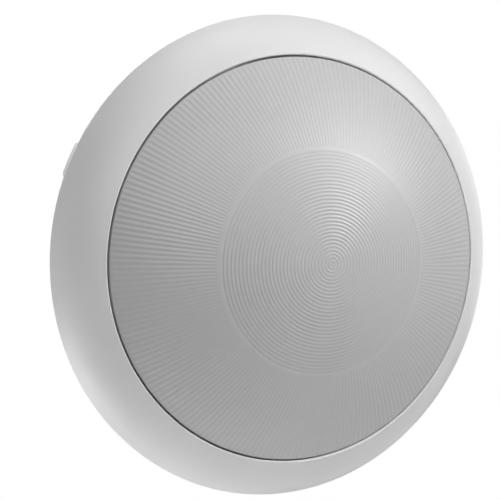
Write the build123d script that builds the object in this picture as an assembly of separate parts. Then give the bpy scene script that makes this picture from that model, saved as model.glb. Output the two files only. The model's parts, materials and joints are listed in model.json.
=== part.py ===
from build123d import *
import os
from math import cos, degrees, hypot, radians, sin, sqrt

# Round wall-mounted horn strobe. A mounting plate is screwed to the wall. The head twists onto it
# and holds the sounder, the boards and the light source behind a domed, translucent lens.
# Every part is drawn in a working frame with X to the right, Y up and Z out of the wall, in
# millimetres. The wall is the plane Z = 0. export() then turns the parts so that the front faces
# -Y and +Z is up, with the origin at the centre of the plate's back face.

# ---------------------------------------------------------------- overall sizes
BEZEL_R = 86.5            # outer radius of the bezel, the widest part
WALL_GAP = 6.0            # from the wall to the bezel's rear edge
BEZEL_DEPTH = 15.3        # from the bezel's rear edge to the seam round the lens
LENS_R = 70.8             # radius of the lens at the seam
DOME_H = 23.4             # height of the lens dome in front of the seam

# ---------------------------------------------------------------- clearances
MOVE_GAP = 0.4            # between pieces that move past each other
SIDE_GAP = 0.6            # the same where a whole ring turns past another
SEAM_GAP = 0.7            # open groove between the lens and the bezel
SEAT_GAP = 0.3            # round a fixed piece that drops into its place
RUNNING_GAP = 0.05        # radial, between a switch shaft and its bore

# ---------------------------------------------------------------- bezel and lens
BEZEL_WALL = 2.2
BEZEL_SKIRT = 0.7         # short straight stretch at the bezel's rear edge
BEZEL_BULGE = radians(18)  # half of the angle that the convex face turns through
BEZEL_EDGE = 0.4          # rounding where the face meets the seam
LENS_WALL = 2.4
LIP_DEPTH = 3.3           # height of the bezel's lip beside the lens
FLANGE_W = 2.6            # width of the lens flange under the lip
FLANGE_T = 1.6
GASKET_T = 1.2

# ---------------------------------------------------------------- mounting plate
PLATE_T = 2.5
RIM_H = 2.9
RIM_T = 1.8
RIM_OFFSET = 4.0          # from the head's rear skirt to the outside of the plate's rim
CABLE_R = 11.0            # cable entry
CABLE_DROP = 17.0         # from the plate's centre down to the cable entry
BOX_PITCH = 83.3          # upright pair of screw slots, for a single-gang box
ROUND_PITCH = 60.3        # level pair of screw slots, for a round box
WALL_SLOT_R = 2.2
WALL_SLOT_L = 9.0
RIB_H = 1.4
RIB_T = 1.6
RIB_ANGLES = (0, 30, 60, 120, 195, 240, 300, 330)

# ---------------------------------------------------------------- twist lock
HOOK_ANGLES = (95, 215, 335)
HOOK_SPAN = 18.0          # degrees
TAB_SPAN = 16.0
STOP_SPAN = 2.5
STOP_GAP = 0.5            # degrees between a tab's end and its stop
HOOK_WEB = 1.8
HOOK_REACH = 2.8
LIP_T = 1.8
TAB_T = 1.8
TAB_GAP = 0.8             # from a tab to the upright web of its hook
HEAD_LIFT = 0.9           # from the plate to the skirt of the head
TWIST = 20.0              # degrees the head turns to come free

# ---------------------------------------------------------------- release latch
LATCH_ANGLE = 155.85      # place of the latch round the plate, from +X towards +Y
LATCH_SPAN = 8.7          # degrees that its finger tab covers
LATCH_TRAVEL = 2.5
LATCH_W = 10.0
LATCH_T = 1.8
LATCH_BED = 0.7           # plate left under the tongue
LATCH_LIFT = 0.2          # between the tongue and its bed or its straps
LATCH_INSET = 0.8         # from the bezel's outer radius to the finger tab's
LATCH_TAB_H = 4.1
LATCH_TAIL = 9.6          # length of the tongue inside the upright post
LATCH_LUG_T = 1.6
FINGER_EDGE = 2.5         # rounding of the finger tab's lower end
LATCH_POST_T = 1.8
LATCH_NOSE = 2.2
NOSE_T = 1.6
NOSE_W = 7.0
LEDGE_W = 1.8
LEDGE_T = 1.4
STRAP_W = 3.0
STRAP_T = 1.4
SPRING_R = 1.8
SPRING_WIRE = 0.5
SPRING_L = 10.0
SPRING_SEAT_T = 1.6

# ---------------------------------------------------------------- rear housing
HOUSING_T = 2.0
SEAT_WALL = 2.8           # ring wall that carries the gasket and the lens
PAN_ROOM = 6.0            # from the contacts to the wall of the raised pan over them
WIRE_ROOM = 1.6           # from the terminal screws to the pan's roof
BOSS_R = 3.2
BOSS_ANGLES = (45, 135, 225, 315)
SOUND_SLOTS = 5
SOUND_SPAN = 50.0         # degrees at the bottom that the slots share
SOUND_RIB = 2.0           # degrees between two slots
SOUND_W = 4.4

# ---------------------------------------------------------------- terminals and contacts
TERMINAL_ANGLES = (45, 75, 105, 135)
TERMINAL_DEPTH = 8.4
TERMINAL_H = 6.5
TERMINAL_SPAN = 24.0      # degrees of the block that each terminal takes
CONTACT_R = 30.0
BLADE_T = 0.8
BLADE_SPAN = 10.0
BLADE_MARGIN = 1.0        # degrees from a blade's end to the end of its slot
BLADE_DROP = 8.0          # length of a blade below the pan
CLIP_GAP = 0.4            # between a blade and each leaf of its clip
CLIP_T = 0.6
CLIP_SPAN = 9.0
CLIP_H = 7.0
CLIP_FOOT = 1.5           # height of the block under a clip
CLAMP_SIDE = 6.0
CLAMP_T = 1.0

# ---------------------------------------------------------------- screws
SCREW_R = 1.2
SCREW_HEAD_R = 2.4
SCREW_HEAD_T = 1.2
DRIVE_W = 0.7             # drive slot in a screw head or a selector
DRIVE_DEPTH = 0.6
DRIVE_SHARE = 0.65        # length of a drive slot, as a share of the head's width
TERMINAL_SCREW_R = 1.5
TERMINAL_HEAD_R = 2.6
TERMINAL_HEAD_T = 1.8
TERMINAL_THREAD = 5.0
BEZEL_SCREW_ANGLES = (0, 60, 120, 180, 240, 300)
BEZEL_BOSS_R = 2.6
BEZEL_THREAD = 3.0        # screw length inside the bezel's boss
BOARD_THREAD = 5.0

# ---------------------------------------------------------------- boards and light source
BOARD_T = 1.6
BOARD_GAP = 1.0           # between the pan and the main board
BOARD_INSET = 2.8         # between the main board and the inside of the lens
SINK_R = 20.0
SINK_H = 4.8
SINK_GROOVES = 2
SINK_GROOVE_W = 1.0
SINK_GROOVE_DEPTH = 1.0
LED_BOARD_R = 21.0
LED_RING_R = 14.0
LED_COUNT = 8
LED_SIDE = 3.5
LED_H = 0.9
LED_DOME_R = 1.4
MAIN_LED_SIDE = 9.0
MAIN_LED_DOME_R = 4.0
LED_SCREW_R = 17.6
LED_SCREW_ANGLES = (22.5, 202.5)
REFLECTOR_T = 1.4
REFLECTOR_LEG_R = 2.0
REFLECTOR_LEG_PITCH = 42.0
LEG_ANGLES = (15, 165, 270)
LINK_PINS = 4
LINK_PITCH = 2.54
LINK_SIDE = 0.64
CHIP_SIDE = 7.0
CHIP_T = 1.0
CHIP_R = 34.0

# ---------------------------------------------------------------- sounder
HORN_ANGLE = 270
HORN_WALL = 1.2
HORN_FLOOR = 1.0
HORN_THROAT = 12.0        # width of the passage at the chamber
HORN_MOUTH = 32.0         # width of the passage at the housing wall
HORN_PASSAGE_H = 2.4
HORN_BOW = 1.25           # how far the passage's sides curve inwards
HORN_LEDGE = 1.4
HORN_ROOF = 1.2           # over the passage
HORN_CAP_T = 1.2
DIAPHRAGM_T = 0.3
PIEZO_INSET = 2.7         # from the ledge that carries the diaphragm to the piezo disc
PIEZO_T = 0.3

# ---------------------------------------------------------------- other components
CAPACITOR_R = 3.1
CAPACITOR_ROOM = 6.0      # from the pan or the lens to the end of a can
CAPACITOR_ANGLE = 0
CAPACITOR_COUNT = 3
INDUCTOR_ANGLE = 90
INDUCTOR_R = 6.5
INDUCTOR_CORE_R = 3.0
INDUCTOR_LIP_T = 1.1
TRANSFORMER_ANGLE = 112
TRANSFORMER_SIDE = 11.0
COIL_GAP = 0.8
UNDER_BOARD_GAP = 0.6     # from the housing floor to a component hung under the board

# ---------------------------------------------------------------- selectors
CANDELA_ANGLE = 200
TONE_ANGLE = 160
VOLUME_ANGLE = 180
KNOB_R = 3.6
KNOB_RECESS = 0.4         # how far a selector stands inside the housing's back
KNOB_H = 3.8
KNOB_SLOT_L = 5.4
KNOB_SLOT_DEPTH = 1.2
SHAFT_R = 1.6
SHAFT_L = 2.4
SWITCH_SIDE = 10.0
SLIDER_L = 3.0
SLIDER_W = 2.6
SLIDER_TRAVEL = 3.0
SLIDER_DEPTH = 1.4        # length of the slider inside its switch
SLIDE_SWITCH_L = 14.0
SLIDE_SWITCH_W = 7.0
SLIDE_SWITCH_H = 4.0

# ---------------------------------------------------------------- levels above the wall
SEAM_Z = WALL_GAP + BEZEL_DEPTH
LIP_Z = SEAM_Z - LIP_DEPTH
FLANGE_Z = LIP_Z - FLANGE_T
SEAT_Z = FLANGE_Z - GASKET_T
SKIRT_Z = PLATE_T + HEAD_LIFT
HOOK_Z = SKIRT_Z + TAB_T + MOVE_GAP
FLOOR_Z = HOOK_Z + LIP_T + SIDE_GAP
FLOOR_TOP = FLOOR_Z + HOUSING_T
BLOCK_TOP = PLATE_T + TERMINAL_H
CLAMP_Z = BLOCK_TOP + CLIP_T
TERMINAL_TOP = CLAMP_Z + CLAMP_T + TERMINAL_HEAD_T
PAN_Z = TERMINAL_TOP + WIRE_ROOM
PAN_TOP = PAN_Z + HOUSING_T
BOARD_Z = PAN_TOP + BOARD_GAP
BOARD_TOP = BOARD_Z + BOARD_T
SINK_TOP = BOARD_TOP + SINK_H
LED_Z = SINK_TOP + BOARD_T
HUNG_Z = FLOOR_TOP + UNDER_BOARD_GAP

# ---------------------------------------------------------------- radii
DOME_SPHERE = (LENS_R**2 + DOME_H**2) / (2 * DOME_H)
DOME_CENTRE = SEAM_Z + DOME_H - DOME_SPHERE
LENS_IN_R = LENS_R - LENS_WALL
FLANGE_R = LENS_R + FLANGE_W
SEAT_R = FLANGE_R - SEAT_GAP
SEAT_IN_R = SEAT_R - SEAT_WALL
SKIRT_R = SEAT_R + SIDE_GAP
SKIRT_IN_R = SKIRT_R - HOUSING_T
SCREW_PITCH_R = SKIRT_R + SCREW_HEAD_R + SIDE_GAP + MOVE_GAP
PLATE_R = SKIRT_R + RIM_OFFSET
HOOK_OUT_R = SKIRT_IN_R - SIDE_GAP
HOOK_WEB_R = HOOK_OUT_R - HOOK_REACH
TAB_IN_R = HOOK_WEB_R + TAB_GAP
LEDGE_IN_R = SKIRT_IN_R - LEDGE_W
NOSE_R = SKIRT_IN_R - MOVE_GAP
POST_R = NOSE_R - LATCH_NOSE
FINGER_R = BEZEL_R - LATCH_INSET
LATCH_ROOT_R = POST_R - LATCH_POST_T - LATCH_TAIL
TERMINAL_OUT_R = CONTACT_R - BLADE_T / 2 - CLIP_GAP - 3 * CLIP_T
TERMINAL_IN_R = TERMINAL_OUT_R - TERMINAL_DEPTH
PAN_R = CONTACT_R + PAN_ROOM + HOUSING_T
BOARD_R = LENS_IN_R - BOARD_INSET
MIDDLE_R = (PAN_R + LENS_IN_R) / 2
CAPACITOR_L = LENS_IN_R - PAN_R - 2 * CAPACITOR_ROOM
HORN_R = (LENS_IN_R - PAN_R) / 2 - SIDE_GAP
PIEZO_R = HORN_R - HORN_WALL - HORN_LEDGE - PIEZO_INSET

# ---------------------------------------------------------------- the bezel's convex face
FACE_REAR = (BEZEL_R, WALL_GAP + BEZEL_SKIRT)
FACE_FRONT = (LENS_R + SEAM_GAP, SEAM_Z)
FACE_DR = FACE_REAR[0] - FACE_FRONT[0]
FACE_DZ = FACE_FRONT[1] - FACE_REAR[1]
FACE_CHORD = hypot(FACE_DR, FACE_DZ)
FACE_ARC = FACE_CHORD / 2 / sin(BEZEL_BULGE)
FACE_CENTRE_R = (FACE_REAR[0] + FACE_FRONT[0]) / 2 - FACE_DZ / FACE_CHORD * FACE_ARC * cos(BEZEL_BULGE)
FACE_CENTRE_Z = (FACE_REAR[1] + FACE_FRONT[1]) / 2 - FACE_DR / FACE_CHORD * FACE_ARC * cos(BEZEL_BULGE)


def bezel_r(z, depth):
    """Radius at level z of the arc that lies a depth inside the bezel's outer face."""
    return FACE_CENTRE_R + sqrt((FACE_ARC - depth) ** 2 - (z - FACE_CENTRE_Z) ** 2)


def bezel_z(r, depth):
    """Level at radius r of the arc that lies a depth inside the bezel's outer face."""
    return FACE_CENTRE_Z + sqrt((FACE_ARC - depth) ** 2 - (r - FACE_CENTRE_R) ** 2)


def dome_z(r, sphere):
    """Level of the dome's outer face, or of its inner face for the smaller sphere, at radius r."""
    return DOME_CENTRE + sqrt(sphere**2 - r**2)


HOUSING_R = bezel_r(FLOOR_TOP, BEZEL_WALL) - MOVE_GAP


# ---------------------------------------------------------------- shape helpers
def profile(*edges):
    """Face in the half-plane of radius and height, bounded by the edges."""
    return Plane.XZ * make_face(edges)


def spun(face, start=0.0, end=360.0):
    """A profile turned about the object's axis between two angles."""
    return Rot(0, 0, start) * revolve(face, Axis.Z, end - start)


def band(r0, r1, z0, z1, start=0.0, end=360.0):
    """Ring, or sector of a ring, between two radii and two levels."""
    cell = Pos((r0 + r1) / 2, (z0 + z1) / 2) * Rectangle(r1 - r0, z1 - z0)
    return spun(Plane.XZ * cell, start, end)


def post(r, z0, z1):
    """Round bar on the Z axis."""
    return Pos(0, 0, z0) * Cylinder(r, z1 - z0, align=(Align.CENTER, Align.CENTER, Align.MIN))


def block(dx, dy, z0, z1):
    """Square-edged block on the Z axis."""
    return Pos(0, 0, (z0 + z1) / 2) * Box(dx, dy, z1 - z0)


def at(angle, radius=0.0):
    """Place at a radius, turned so that its X axis points away from the object's axis."""
    return Rot(0, 0, angle) * Pos(radius, 0, 0)


def around(angles, radius, shape):
    """Copies of one shape as a group, one at each angle."""
    return Compound([at(a, radius) * shape for a in angles])


def even(count):
    """Evenly spaced angles."""
    return [360.0 * k / count for k in range(count)]


def screw(r, head_r, head_t, length):
    """Screw with its head's underside at Z = 0, the shank along -Z and a cross drive."""
    body = post(r, -length, 0) + post(head_r, 0, head_t)
    drive = Box(2 * DRIVE_SHARE * head_r, DRIVE_W, 2 * DRIVE_DEPTH)
    return body - Pos(0, 0, head_t) * (drive + Rot(0, 0, 90) * drive)


# ---------------------------------------------------------------- mounting plate and latch
def wall_slot(pitch, angle):
    """Pair of through slots that run along the line between them."""
    cut = Pos(0, 0, PLATE_T / 2) * extrude(SlotOverall(WALL_SLOT_L, 2 * WALL_SLOT_R), PLATE_T, both=True)
    return at(angle, pitch / 2) * cut + at(angle + 180, pitch / 2) * cut


def hook(angle):
    """Bayonet hook: upright web, lip that reaches outwards, and the stop at its clockwise end."""
    start = angle - HOOK_SPAN / 2
    end = angle + HOOK_SPAN / 2
    top = HOOK_Z + LIP_T
    stop = angle - TAB_SPAN / 2 - STOP_GAP
    web = band(HOOK_WEB_R - HOOK_WEB, HOOK_WEB_R, PLATE_T, top, stop - STOP_SPAN, end)
    lip = band(HOOK_WEB_R, HOOK_OUT_R, HOOK_Z, top, start, end)
    wall = band(HOOK_WEB_R, HOOK_OUT_R, PLATE_T, top, stop - STOP_SPAN, stop)
    return web + lip + wall


def latch_bed():
    """Channel for the latch, open at the plate's edge, with the gap in the rim."""
    inner = LATCH_ROOT_R - LATCH_TRAVEL - MOVE_GAP
    length = PLATE_R + RIM_T - inner
    floor = block(length, LATCH_W + 2 * MOVE_GAP, LATCH_BED, PLATE_T + RIM_H)
    finger = 2 * FINGER_R * sin(radians(LATCH_SPAN / 2)) + 2 * SIDE_GAP
    reach = LATCH_TRAVEL + SIDE_GAP
    gap = Pos(PLATE_R, 0, 0) * block(2 * reach, finger, LATCH_BED, PLATE_T + RIM_H)
    return at(LATCH_ANGLE) * (Pos(inner + length / 2, 0, 0) * floor + gap)


def latch_guides():
    """Straps over the tongue, and the seat of the return spring."""
    side = LATCH_W / 2 + MOVE_GAP + STRAP_T
    under = LATCH_BED + LATCH_T + 2 * LATCH_LIFT
    strap_r = LATCH_ROOT_R + LATCH_LUG_T + LATCH_LIFT + STRAP_W / 2
    strap = block(STRAP_W, 2 * side, PLATE_T, under + STRAP_T)
    tunnel = block(STRAP_W, LATCH_W + 2 * MOVE_GAP, LATCH_BED, under)
    seat_r = LATCH_ROOT_R - SPRING_L - SPRING_SEAT_T / 2
    seat_h = PLATE_T + LATCH_LIFT + 2 * SPRING_R + 2 * SPRING_WIRE
    seat = block(SPRING_SEAT_T, 4 * SPRING_R, PLATE_T, seat_h)
    return at(LATCH_ANGLE) * (Pos(strap_r, 0, 0) * (strap - tunnel) + Pos(seat_r, 0, 0) * seat)


def mounting_plate():
    """Moulded plate that carries the bayonet hooks, the latch and the terminals."""
    plate = post(PLATE_R, 0, PLATE_T)
    plate += band(PLATE_R - RIM_T, PLATE_R, PLATE_T, PLATE_T + RIM_H)
    inner = BOX_PITCH / 2 + WALL_SLOT_L / 2 + MOVE_GAP
    outer = HOOK_WEB_R - HOOK_WEB
    rib = block(outer - inner, RIB_T, PLATE_T, PLATE_T + RIB_H)
    for angle in RIB_ANGLES:
        plate += at(angle, (inner + outer) / 2) * rib
    for angle in HOOK_ANGLES:
        plate += hook(angle)
    plate -= latch_bed()
    plate += latch_guides()
    plate -= Pos(0, -CABLE_DROP, 0) * post(CABLE_R, 0, PLATE_T)
    plate -= wall_slot(BOX_PITCH, 90)
    plate -= wall_slot(ROUND_PITCH, 0)
    return plate


def release_latch():
    """Sliding latch: finger tab, tongue, spring lug and the nose behind the head's ledge."""
    low = LATCH_BED + LATCH_LIFT
    high = low + LATCH_T
    shoulder = PLATE_R + MOVE_GAP
    length = shoulder - LATCH_ROOT_R + LATCH_LUG_T
    tongue = Pos(LATCH_ROOT_R + length / 2, 0, 0) * block(length, LATCH_W, low, high)
    finger = band(shoulder, FINGER_R, low, low + LATCH_TAB_H, -LATCH_SPAN / 2, LATCH_SPAN / 2)
    end = Pos(FINGER_R * cos(radians(LATCH_SPAN / 2)), FINGER_R * sin(radians(LATCH_SPAN / 2)), low)
    corner = finger.edges().filter_by(Axis.Z).sort_by_distance(end.position)[:1]
    finger = fillet(corner, FINGER_EDGE)
    lug_top = PLATE_T + LATCH_LIFT + 2 * SPRING_R + SPRING_WIRE
    lug = Pos(LATCH_ROOT_R + LATCH_LUG_T / 2, 0, 0) * block(LATCH_LUG_T, NOSE_W, low, lug_top)
    nose_z = SKIRT_Z + LEDGE_T + MOVE_GAP
    half = degrees(NOSE_W / 2 / POST_R)
    upright = band(POST_R - LATCH_POST_T, POST_R, low, nose_z + NOSE_T, -half, half)
    nose = band(POST_R, NOSE_R, nose_z, nose_z + NOSE_T, -half, half)
    return at(LATCH_ANGLE) * (tongue + finger + lug + upright + nose)


def latch_spring():
    """Return spring, drawn as the sleeve that its coils fill."""
    coil = Cylinder(SPRING_R, SPRING_L) - Cylinder(SPRING_R - SPRING_WIRE, SPRING_L)
    level = PLATE_T + LATCH_LIFT + SPRING_R
    return at(LATCH_ANGLE, LATCH_ROOT_R - SPRING_L / 2) * Pos(0, 0, level) * Rot(0, 90, 0) * coil


# ---------------------------------------------------------------- terminals on the plate
def terminal_r():
    """Radius of the terminal screws."""
    return (TERMINAL_IN_R + TERMINAL_OUT_R) / 2


def terminal_block():
    """Insulating block with one screw hole and one clip seat for each wire."""
    start = TERMINAL_ANGLES[0] - TERMINAL_SPAN / 2
    end = TERMINAL_ANGLES[-1] + TERMINAL_SPAN / 2
    body = band(TERMINAL_IN_R, TERMINAL_OUT_R, PLATE_T, BLOCK_TOP, start, end)
    outer = CONTACT_R + BLADE_T / 2 + CLIP_GAP + 2 * CLIP_T
    body += band(TERMINAL_OUT_R, outer, PLATE_T, PLATE_T + CLIP_FOOT, start, end)
    hole = post(TERMINAL_SCREW_R, BLOCK_TOP - TERMINAL_THREAD, BLOCK_TOP)
    for angle in TERMINAL_ANGLES:
        body -= at(angle, terminal_r()) * hole
    for low, high in zip(TERMINAL_ANGLES, TERMINAL_ANGLES[1:]):
        fin = block(TERMINAL_OUT_R - TERMINAL_IN_R - MOVE_GAP, CLIP_T, BLOCK_TOP, CLAMP_Z + CLAMP_T)
        body += at((low + high) / 2, terminal_r()) * fin
    return body


def contact_clip():
    """Bent strip: tail under the clamp, riser down the block, foot, and two leaves."""
    foot = PLATE_T + CLIP_FOOT
    inner = CONTACT_R - BLADE_T / 2 - CLIP_GAP
    outer = CONTACT_R + BLADE_T / 2 + CLIP_GAP
    half = CLIP_SPAN / 2
    top = foot + CLIP_H
    riser = band(TERMINAL_OUT_R, TERMINAL_OUT_R + CLIP_T, foot, CLAMP_Z, -half, half)
    tail = band(TERMINAL_IN_R + MOVE_GAP, TERMINAL_OUT_R + CLIP_T, BLOCK_TOP, CLAMP_Z, -half, half)
    base = band(TERMINAL_OUT_R, outer + CLIP_T, foot, foot + CLIP_T, -half, half)
    leaves = band(inner - CLIP_T, inner, foot, top, -half, half)
    leaves += band(outer, outer + CLIP_T, foot, top, -half, half)
    strip = riser + tail + base + leaves
    return strip - Pos(terminal_r(), 0, 0) * post(TERMINAL_SCREW_R, BLOCK_TOP, CLAMP_Z)


def terminal_contacts():
    return around(TERMINAL_ANGLES, 0, contact_clip())


def terminal_clamps():
    """Square washers that press the wires down."""
    plate = block(CLAMP_SIDE, CLAMP_SIDE, CLAMP_Z, CLAMP_Z + CLAMP_T)
    plate -= post(TERMINAL_SCREW_R, CLAMP_Z, CLAMP_Z + CLAMP_T)
    return around(TERMINAL_ANGLES, terminal_r(), plate)


def terminal_screws():
    length = TERMINAL_THREAD + CLIP_T + CLAMP_T
    one = screw(TERMINAL_SCREW_R, TERMINAL_HEAD_R, TERMINAL_HEAD_T, length)
    return around(TERMINAL_ANGLES, terminal_r(), Pos(0, 0, CLAMP_Z + CLAMP_T) * one)


# ---------------------------------------------------------------- rear housing, bezel and lens
def horn_passage(z0, z1):
    """Flared sound passage along +X, from the chamber to the outside of the lens seat."""
    start = MIDDLE_R + HORN_R / 2
    end = SKIRT_R
    outline = make_face([
        Line((start, -HORN_THROAT / 2), (start, HORN_THROAT / 2)),
        SagittaArc((start, HORN_THROAT / 2), (end, HORN_MOUTH / 2), -HORN_BOW),
        Line((end, HORN_MOUTH / 2), (end, -HORN_MOUTH / 2)),
        SagittaArc((end, -HORN_MOUTH / 2), (start, -HORN_THROAT / 2), -HORN_BOW),
    ])
    return Pos(0, 0, z0) * extrude(outline, z1 - z0)


def passage_levels():
    """Floor and roof of the sound passage."""
    low = FLOOR_TOP + HORN_FLOOR
    return low, low + HORN_PASSAGE_H


def sound_slot_cuts():
    """Slots in the flange, at the bottom, where the sound leaves behind the bezel."""
    inner = SCREW_PITCH_R - SOUND_W / 2
    step = SOUND_SPAN / SOUND_SLOTS
    cuts = []
    for k in range(SOUND_SLOTS):
        start = HORN_ANGLE - SOUND_SPAN / 2 + k * step + SOUND_RIB / 2
        cuts.append(band(inner, inner + SOUND_W, FLOOR_Z, FLOOR_TOP, start, start + step - SOUND_RIB))
    return cuts


def housing_walls():
    """Floor with its raised pan, rear skirt, flange and the ring wall under the lens."""
    body = band(PAN_R - HOUSING_T, HOUSING_R, FLOOR_Z, FLOOR_TOP)
    body += band(PAN_R - HOUSING_T, PAN_R, FLOOR_Z, PAN_TOP)
    body += post(PAN_R, PAN_Z, PAN_TOP)
    body += band(SKIRT_IN_R, SKIRT_R, SKIRT_Z, FLOOR_TOP)
    body += band(SEAT_IN_R, SEAT_R, FLOOR_Z, SEAT_Z)
    return body


def rear_housing():
    """Moulded tray of the head, with the bayonet tabs and the latch ledge inside its skirt."""
    body = housing_walls()
    for angle in HOOK_ANGLES:
        start = angle - TAB_SPAN / 2
        body += band(TAB_IN_R, SKIRT_R, SKIRT_Z, SKIRT_Z + TAB_T, start, start + TAB_SPAN)
    margin = LATCH_SPAN / 2
    ledge_start = LATCH_ANGLE - TWIST - 2 * margin
    body += band(LEDGE_IN_R, SKIRT_R, SKIRT_Z, SKIRT_Z + LEDGE_T, ledge_start, LATCH_ANGLE + 2 * margin)
    boss = post(BOSS_R, FLOOR_TOP, BOARD_Z) - post(SCREW_R, BOARD_Z - BOARD_THREAD, BOARD_Z)
    for angle in BOSS_ANGLES:
        body += at(angle, MIDDLE_R) * boss
    for angle in BEZEL_SCREW_ANGLES:
        body -= at(angle, SCREW_PITCH_R) * post(SCREW_R, FLOOR_Z, FLOOR_TOP)
    reach = BLADE_SPAN / 2 + BLADE_MARGIN
    wide = BLADE_T / 2 + SEAT_GAP
    for angle in TERMINAL_ANGLES:
        body -= band(CONTACT_R - wide, CONTACT_R + wide, PAN_Z, PAN_TOP, angle - reach, angle + reach)
    body -= at(HORN_ANGLE) * horn_passage(*passage_levels()) & spun_seat()
    for cut in sound_slot_cuts():
        body -= cut
    for angle in (CANDELA_ANGLE, TONE_ANGLE):
        body -= at(angle, MIDDLE_R) * post(KNOB_R + MOVE_GAP, FLOOR_Z, FLOOR_TOP)
    body -= at(VOLUME_ANGLE, MIDDLE_R) * slider_window(FLOOR_Z, FLOOR_TOP)
    return body


def spun_seat():
    """Ring that the lens seat fills, a little wider on both sides."""
    return band(SEAT_IN_R - HORN_WALL, SKIRT_R, *passage_levels())


def bezel_arc(low, high, depth):
    """Arc inside the bezel's wall, from one point on it to another."""
    r = (low[0] + high[0]) / 2
    return ThreePointArc(low, (r, bezel_z(r, depth)), high)


def bezel_bosses():
    """Six posts for the screws, cut off inside the bezel's wall."""
    depth = BEZEL_WALL / 2
    foot = (bezel_r(FLOOR_TOP, depth), FLOOR_TOP)
    head = (FLANGE_R, bezel_z(FLANGE_R, depth))
    room = spun(profile(
        bezel_arc(foot, head, depth),
        Line(head, (FLANGE_R, FLOOR_TOP)),
        Line((FLANGE_R, FLOOR_TOP), foot),
    ))
    tall = post(BEZEL_BOSS_R, FLOOR_TOP, SEAM_Z)
    return [(at(angle, SCREW_PITCH_R) * tall) & room for angle in BEZEL_SCREW_ANGLES]


def bezel():
    """Convex ring round the lens, with a lip over the lens flange and six screw bosses."""
    rear_r = BEZEL_R - BEZEL_WALL
    pocket_r = FLANGE_R + SEAT_GAP
    rear = (bezel_r(FACE_REAR[1], BEZEL_WALL), FACE_REAR[1])
    pocket = (pocket_r, bezel_z(pocket_r, BEZEL_WALL))
    section = profile(
        Line((rear_r, WALL_GAP), (BEZEL_R, WALL_GAP)),
        Line((BEZEL_R, WALL_GAP), FACE_REAR),
        bezel_arc(FACE_REAR, FACE_FRONT, 0),
        Line(FACE_FRONT, (FACE_FRONT[0], LIP_Z)),
        Line((FACE_FRONT[0], LIP_Z), (pocket_r, LIP_Z)),
        Line((pocket_r, LIP_Z), pocket),
        bezel_arc(pocket, rear, BEZEL_WALL),
        Line(rear, (rear_r, WALL_GAP)),
    )
    edge = section.vertices().sort_by_distance((FACE_FRONT[0], 0, FACE_FRONT[1]))[:1]
    ring = spun(fillet(edge, BEZEL_EDGE))
    for boss in bezel_bosses():
        ring += boss
    pilot = post(SCREW_R, FLOOR_TOP, FLOOR_TOP + bezel_thread())
    for angle in BEZEL_SCREW_ANGLES:
        ring -= at(angle, SCREW_PITCH_R) * pilot
    return ring


def bezel_thread():
    """Length of a bezel screw inside its boss, short of the bezel's wall."""
    return min(BEZEL_THREAD, bezel_z(SCREW_PITCH_R + SCREW_R, BEZEL_WALL) - FLOOR_TOP)


def bezel_screws():
    """Screws put in from behind, through the flange."""
    one = screw(SCREW_R, SCREW_HEAD_R, SCREW_HEAD_T, HOUSING_T + bezel_thread())
    return around(BEZEL_SCREW_ANGLES, SCREW_PITCH_R, Pos(0, 0, FLOOR_Z) * Rot(180, 0, 0) * one)


def lens():
    """Translucent dome with a straight edge and a flange that the bezel clamps."""
    inner = DOME_SPHERE - LENS_WALL
    top = SEAM_Z + DOME_H
    half = LENS_R / 2
    section = profile(
        ThreePointArc((0, top), (half, dome_z(half, DOME_SPHERE)), (LENS_R, SEAM_Z)),
        Line((LENS_R, SEAM_Z), (LENS_R, LIP_Z)),
        Line((LENS_R, LIP_Z), (FLANGE_R, LIP_Z)),
        Line((FLANGE_R, LIP_Z), (FLANGE_R, FLANGE_Z)),
        Line((FLANGE_R, FLANGE_Z), (LENS_IN_R, FLANGE_Z)),
        Line((LENS_IN_R, FLANGE_Z), (LENS_IN_R, dome_z(LENS_IN_R, inner))),
        ThreePointArc((LENS_IN_R, dome_z(LENS_IN_R, inner)), (half, dome_z(half, inner)), (0, top - LENS_WALL)),
        Line((0, top - LENS_WALL), (0, top)),
    )
    return spun(section)


def lens_gasket():
    """Flat seal between the housing's ring wall and the lens flange."""
    return band(SEAT_IN_R, SEAT_R, SEAT_Z, FLANGE_Z)


# ---------------------------------------------------------------- boards and light source
def main_board():
    """Round circuit board over the pan, on the four bosses."""
    board = post(BOARD_R, BOARD_Z, BOARD_TOP)
    for angle in BOSS_ANGLES:
        board -= at(angle, MIDDLE_R) * post(SCREW_R, BOARD_Z, BOARD_TOP)
    return board


def board_screws():
    one = screw(SCREW_R, SCREW_HEAD_R, SCREW_HEAD_T, BOARD_T + BOARD_THREAD)
    return around(BOSS_ANGLES, MIDDLE_R, Pos(0, 0, BOARD_TOP) * one)


def contact_blades():
    """Blades under the main board that enter the clips on the plate."""
    half = BLADE_SPAN / 2
    one = band(CONTACT_R - BLADE_T / 2, CONTACT_R + BLADE_T / 2, PAN_Z - BLADE_DROP, BOARD_Z, -half, half)
    return around(TERMINAL_ANGLES, 0, one)


def heat_spreader():
    """Aluminium spacer under the light source."""
    body = post(SINK_R, BOARD_TOP, SINK_TOP)
    step = SINK_H / SINK_GROOVES
    for k in range(SINK_GROOVES):
        low = BOARD_TOP + k * step + (step - SINK_GROOVE_W) / 2
        body -= band(SINK_R - SINK_GROOVE_DEPTH, SINK_R, low, low + SINK_GROOVE_W)
    for angle in LED_SCREW_ANGLES:
        body -= at(angle, LED_SCREW_R) * post(SCREW_R, SINK_TOP - SINK_H / 2, SINK_TOP)
    return body - link_block(BOARD_TOP, SINK_TOP)


def link_block(z0, z1):
    """Room that the link pins take, beside the middle."""
    return Pos(0, -SINK_R / 3, 0) * block(LINK_PINS * LINK_PITCH, LINK_PITCH, z0, z1)


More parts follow.
